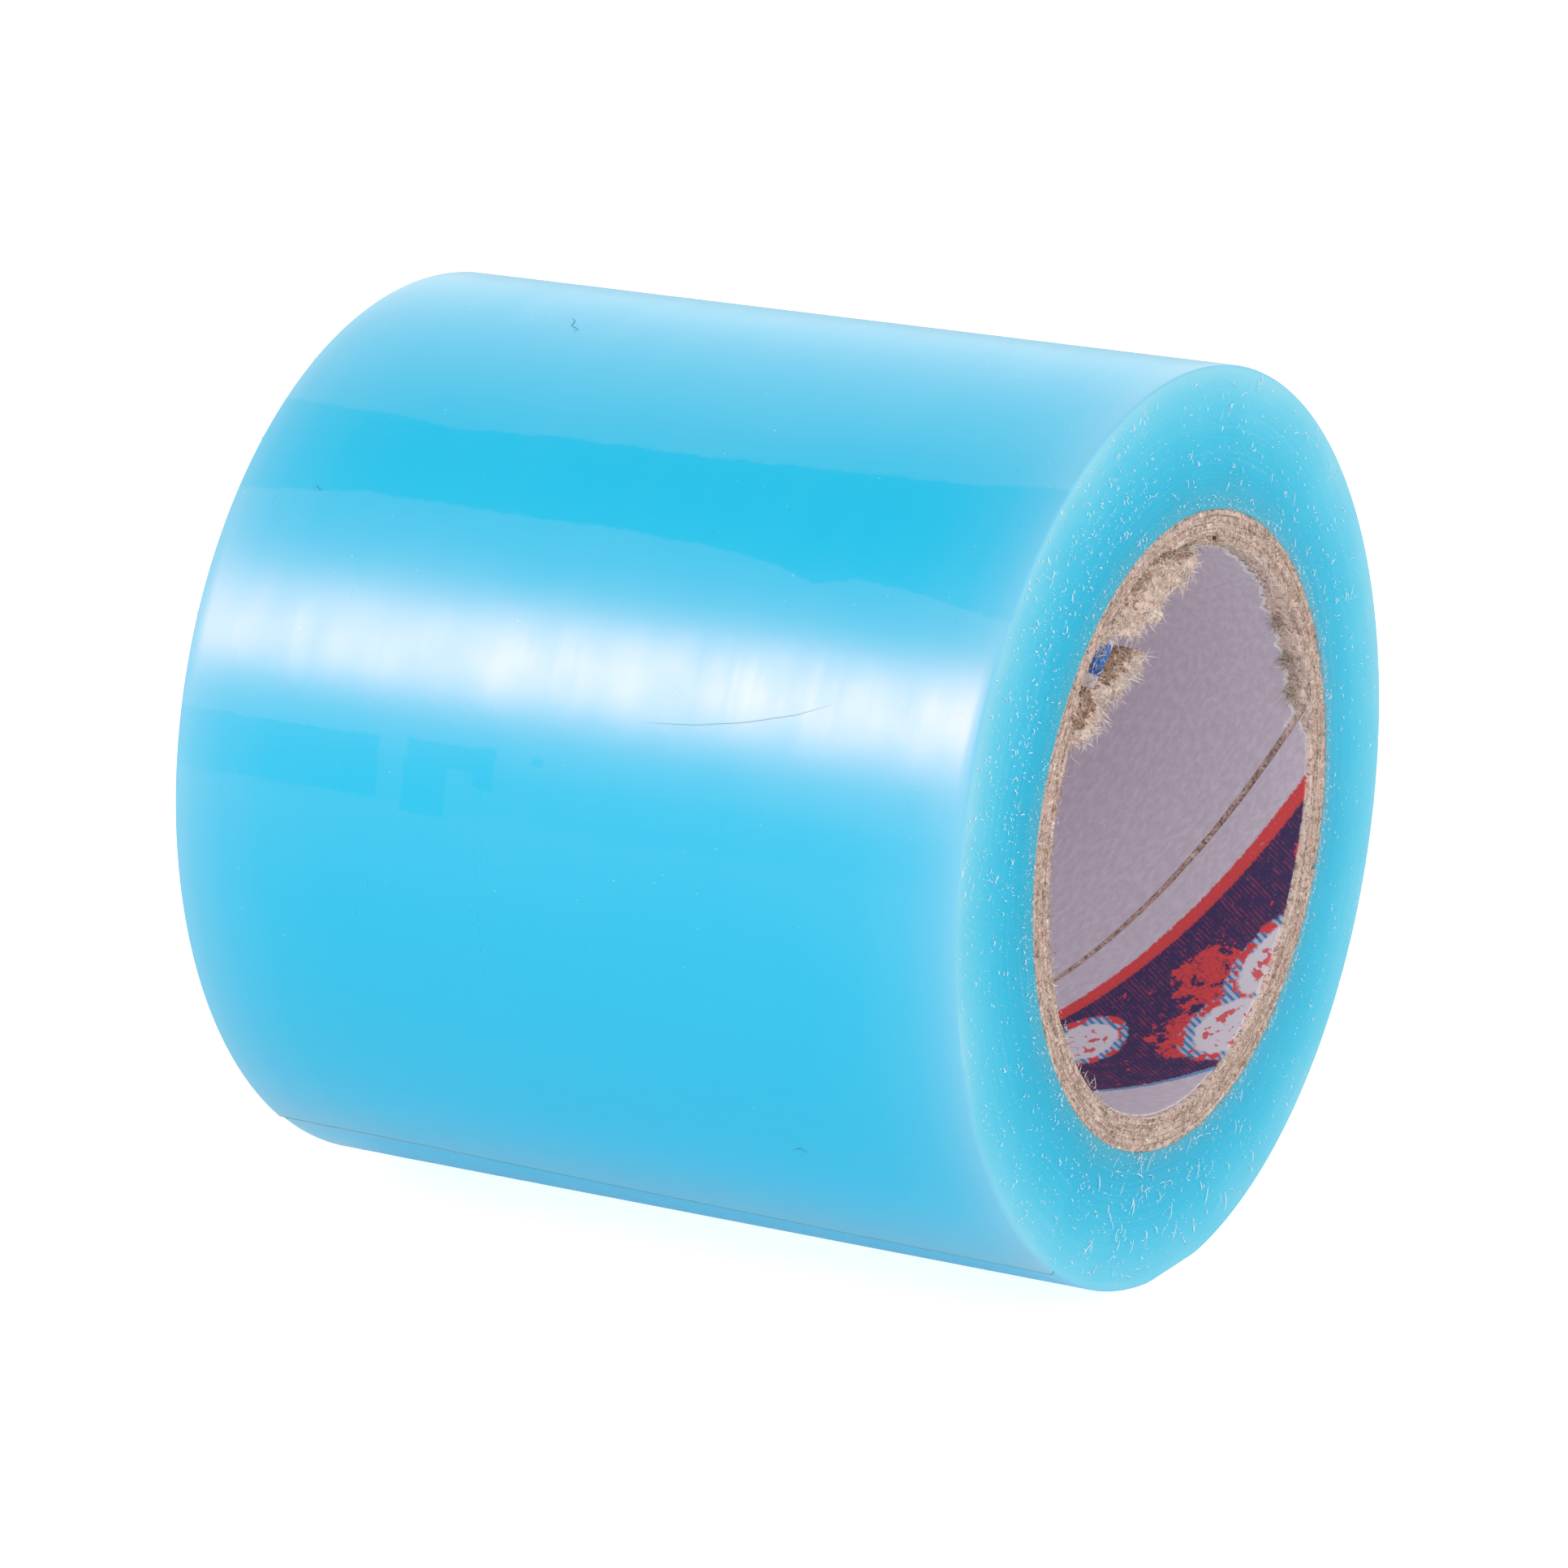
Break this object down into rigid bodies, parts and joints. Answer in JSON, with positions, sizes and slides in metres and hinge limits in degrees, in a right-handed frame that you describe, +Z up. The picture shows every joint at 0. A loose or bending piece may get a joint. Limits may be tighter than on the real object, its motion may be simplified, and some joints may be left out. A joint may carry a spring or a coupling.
{
  "type": "adhesive tape roll",
  "caption": "Wide roll of translucent blue film tape on a spiral-wound paperboard core, with a free end that peels.",
  "frame": {"origin": "under the middle of the roll, on the surface that it lies on", "axes": "+X along the roll's axis towards the mouth with the torn ply, -Y towards the side where the free end is cut, +Z up"},
  "size_m": [0.051, 0.0525, 0.0523],
  "materials": {
    "blue_film": "gloss, translucent",
    "kraft_board": "matte, fibrous",
    "torn_kraft": "matte, torn fibres",
    "liner_paper": "matte, printed"
  },
  "bodies": {
    "roll": {"core_liner": "liner_paper", "core_ply_1": "kraft_board", "core_ply_2": "kraft_board", "core_ply_3": "kraft_board", "core_ply_4": "kraft_board", "core_ply_5": "kraft_board", "torn_flap_upper": "torn_kraft", "torn_flap_lower": "torn_kraft", "tape_pack": "blue_film"},
    "tail_1": {"tape_tail_1": "blue_film"},
    "tail_2": {"tape_tail_2": "blue_film"},
    "tail_3": {"tape_tail_3": "blue_film"},
    "tail_4": {"tape_tail_4": "blue_film"}
  },
  "joints": [
    {"name": "tail_peel_1", "type": "hinge", "parent": "roll", "child": "tail_1", "pos_m": [0, -0.02477, 0.01726], "axis": [-1, 0, 0], "range_deg": [0, 30]},
    {"name": "tail_peel_2", "type": "hinge", "parent": "tail_1", "child": "tail_2", "pos_m": [0, -0.02321, 0.01369], "axis": [-1, 0, 0], "range_deg": [0, 30]},
    {"name": "tail_peel_3", "type": "hinge", "parent": "tail_2", "child": "tail_3", "pos_m": [0, -0.02113, 0.0104], "axis": [-1, 0, 0], "range_deg": [0, 30]},
    {"name": "tail_peel_4", "type": "hinge", "parent": "tail_3", "child": "tail_4", "pos_m": [0, -0.01859, 0.00744], "axis": [-1, 0, 0], "range_deg": [0, 30]}
  ],
  "couplings": [
    {"joint": "tail_peel_2", "follows": "tail_peel_1", "ratio": 1},
    {"joint": "tail_peel_3", "follows": "tail_peel_1", "ratio": 1},
    {"joint": "tail_peel_4", "follows": "tail_peel_1", "ratio": 1}
  ]
}
